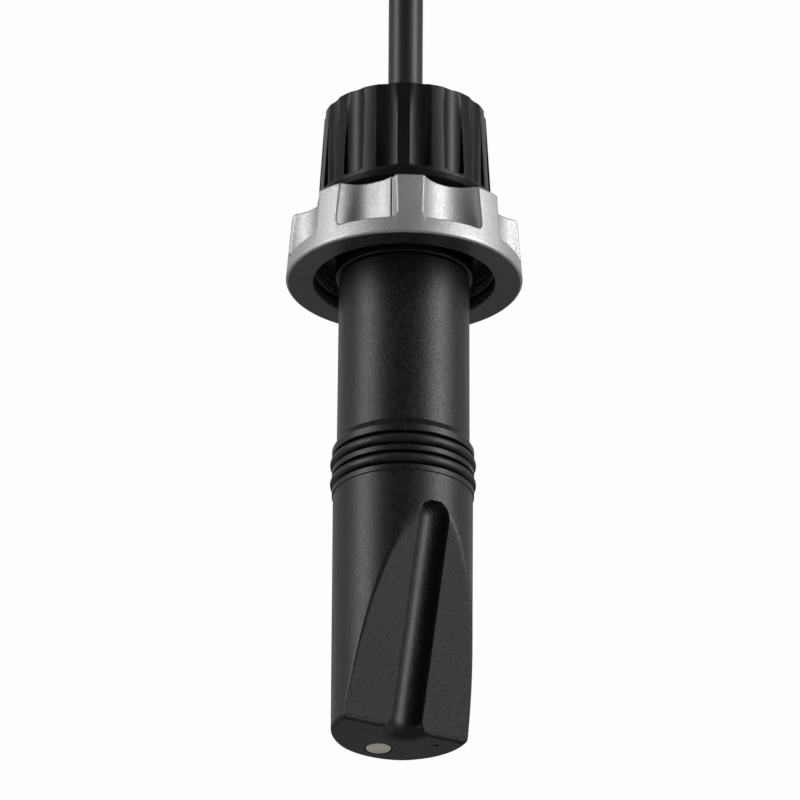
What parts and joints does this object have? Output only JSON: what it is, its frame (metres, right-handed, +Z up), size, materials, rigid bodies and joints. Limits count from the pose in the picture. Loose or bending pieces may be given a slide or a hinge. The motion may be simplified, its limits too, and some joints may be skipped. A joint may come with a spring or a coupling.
{
  "type": "in-line measuring probe",
  "caption": "Slim black insertion probe with a scalloped union nut, fluted cap, O-ring head, slanted grooved tip face and cable with round connector.",
  "frame": {"origin": "centre of the gasket's underside, the face that seats on the socket, on the probe's axis", "axes": "+Z up the probe's axis towards the cable; the slanted face looks towards -Y and a little towards +X"},
  "size_m": [0.0616, 0.0616, 0.2743],
  "materials": {
    "head_plastic": "matt black moulded plastic with a fine grain",
    "tube_plastic": "matt black moulded plastic with a fine grain",
    "cap_plastic": "semi-gloss black plastic",
    "nut_metal": "bead-blasted satin silver metal",
    "seal_rubber": "black sealing rubber",
    "contact_metal": "warm satin metal",
    "cable_jacket": "smooth black jacket",
    "slip_plastic": "white slip plastic",
    "board": "green circuit board",
    "component": "black moulded component",
    "shield": "tinned steel",
    "gold": "gold-plated contact",
    "connector_metal": "nickel-plated metal",
    "wire_brown": "brown insulation",
    "wire_white": "white insulation",
    "wire_blue": "blue insulation",
    "wire_red": "red insulation"
  },
  "bodies": {
    "probe": {"sensor_head": "head_plastic", "upper_tube": "tube_plastic", "neck_housing": "tube_plastic", "o_ring_upper": "seal_rubber", "o_ring_lower": "seal_rubber", "spigot_seal": "seal_rubber", "cap_seal": "seal_rubber", "gland_seal": "seal_rubber", "flange_gasket": "seal_rubber", "contact_seal": "seal_rubber", "connector_seal": "seal_rubber", "contact_button": "contact_metal", "contact_lead": "wire_white", "cable": "cable_jacket", "cable_core": "component", "circuit_board": "board", "terminal_block": "component", "signal_chip": "component", "shield_can": "shield", "board_support_upper": "component", "board_support_lower": "component", "conductor_1": "wire_brown", "conductor_2": "wire_white", "conductor_3": "wire_blue", "conductor_4": "wire_red", "connector_boot": "seal_rubber", "connector_body": "cap_plastic", "connector_insert": "component", "connector_pin_1": "gold", "connector_pin_2": "gold", "connector_pin_3": "gold", "connector_pin_4": "gold"},
    "nut_carrier": {"thrust_washer": "slip_plastic"},
    "union_nut": {"union_nut": "nut_metal"},
    "cap_carrier": {"cap_thrust_ring": "slip_plastic"},
    "cap": {"cap_nut": "cap_plastic"},
    "connector_nut": {"connector_nut": "connector_metal"}
  },
  "joints": [
    {"name": "nut_lift", "type": "slide", "parent": "probe", "child": "nut_carrier", "axis": [0, 0, 1], "range_m": [0, 0.003]},
    {"name": "nut_turn", "type": "hinge", "parent": "nut_carrier", "child": "union_nut", "pos_m": [0, 0, 0.0058], "axis": [0, 0, 1], "continuous": true},
    {"name": "cap_rise", "type": "slide", "parent": "probe", "child": "cap_carrier", "axis": [0, 0, 1], "range_m": [0, 0.01125]},
    {"name": "cap_turn", "type": "hinge", "parent": "cap_carrier", "child": "cap", "pos_m": [0, 0, 0.0126], "axis": [0, 0, 1], "range_deg": [0, 1620]},
    {"name": "connector_nut_turn", "type": "hinge", "parent": "probe", "child": "connector_nut", "pos_m": [0, 0, 0.127], "axis": [0, 0, 1], "continuous": true}
  ],
  "couplings": [
    {"joint": "cap_turn", "follows": "cap_rise", "rad_per_m": 2513.3}
  ]
}
